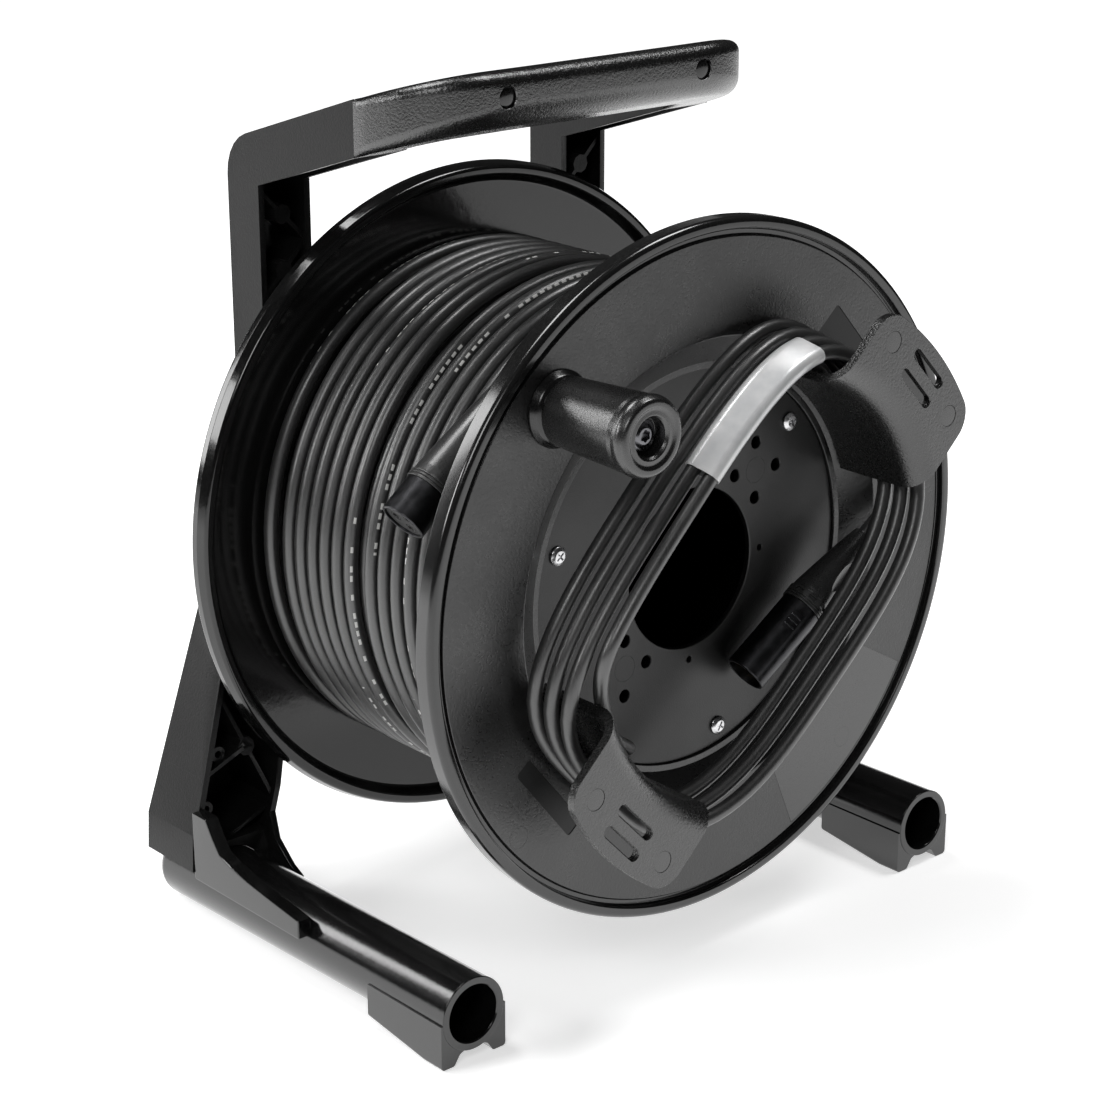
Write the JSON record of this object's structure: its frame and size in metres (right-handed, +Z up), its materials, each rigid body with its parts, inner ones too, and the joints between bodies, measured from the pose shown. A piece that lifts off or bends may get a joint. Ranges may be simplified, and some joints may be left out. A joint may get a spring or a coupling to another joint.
{
  "type": "stage cable reel",
  "caption": "Black stage cable reel: crank drum on an axle in a carrying frame with tube feet, wound connector cable and a stowed cable tail under hooked guards.",
  "frame": {"origin": "on the floor, under the centre of the reel's bounding box; the drum axis is above it", "axes": "+Z up, +Y from the crank side to the rear along the drum axis, +X to the right seen from the crank side"},
  "size_m": [0.322, 0.269, 0.3911],
  "materials": {
    "moulded_plastic": "textured",
    "smooth_plastic": "smooth",
    "cable_jacket": "satin",
    "zinc_steel": "zinc plated",
    "bronze": "plain",
    "label_plastic": "satin",
    "connector_shell": "black satin"
  },
  "bodies": {
    "frame": {"frame_left": "moulded_plastic", "frame_right": "moulded_plastic", "foot_left": "smooth_plastic", "foot_right": "smooth_plastic", "axle_beam": "moulded_plastic", "carry_grip": "moulded_plastic", "grip_plug_left": "moulded_plastic", "grip_plug_right": "moulded_plastic", "axle_shaft": "zinc_steel", "axle_washer_rear": "zinc_steel", "axle_nut_rear": "zinc_steel", "axle_nut_front": "zinc_steel", "thrust_washer_rear": "zinc_steel", "thrust_washer_front": "zinc_steel"},
    "drum": {"front_flange": "moulded_plastic", "rear_flange": "smooth_plastic", "drum_barrel": "moulded_plastic", "hub_plate": "moulded_plastic", "hub_screw_1": "zinc_steel", "hub_screw_2": "zinc_steel", "hub_screw_3": "zinc_steel", "axle_bush_front": "bronze", "axle_bush_rear": "bronze", "cable_guard_upper": "moulded_plastic", "cable_guard_lower": "moulded_plastic", "knob_base": "moulded_plastic", "knob_spindle": "zinc_steel", "knob_nut": "zinc_steel", "knob_screw": "zinc_steel", "female_xlr_shell": "connector_shell", "female_xlr_insert": "moulded_plastic", "female_xlr_collar": "moulded_plastic", "female_xlr_boot": "moulded_plastic", "male_xlr_shell": "connector_shell", "male_xlr_insert": "moulded_plastic", "male_xlr_pin_1": "bronze", "male_xlr_pin_2": "bronze", "male_xlr_pin_3": "bronze", "male_xlr_collar": "moulded_plastic", "male_xlr_boot": "moulded_plastic", "winding_core": "cable_jacket", "cable_winding": "cable_jacket", "stowed_cable": "cable_jacket", "label_sleeve": "label_plastic"},
    "knob": {"crank_knob": "moulded_plastic"},
    "latch": {"female_xlr_latch": "connector_shell"}
  },
  "joints": [
    {"name": "drum_spin", "type": "hinge", "parent": "frame", "child": "drum", "pos_m": [0, 0, 0.1783], "axis": [0, 1, 0], "continuous": true},
    {"name": "knob_spin", "type": "hinge", "parent": "drum", "child": "knob", "pos_m": [-0.08591, -0.0795, 0.26883], "axis": [0, 1, 0], "continuous": true},
    {"name": "latch_press", "type": "slide", "parent": "drum", "child": "latch", "axis": [0, -1, 0], "range_m": [0, 0.0012], "stiffness_N_per_m": 400}
  ]
}
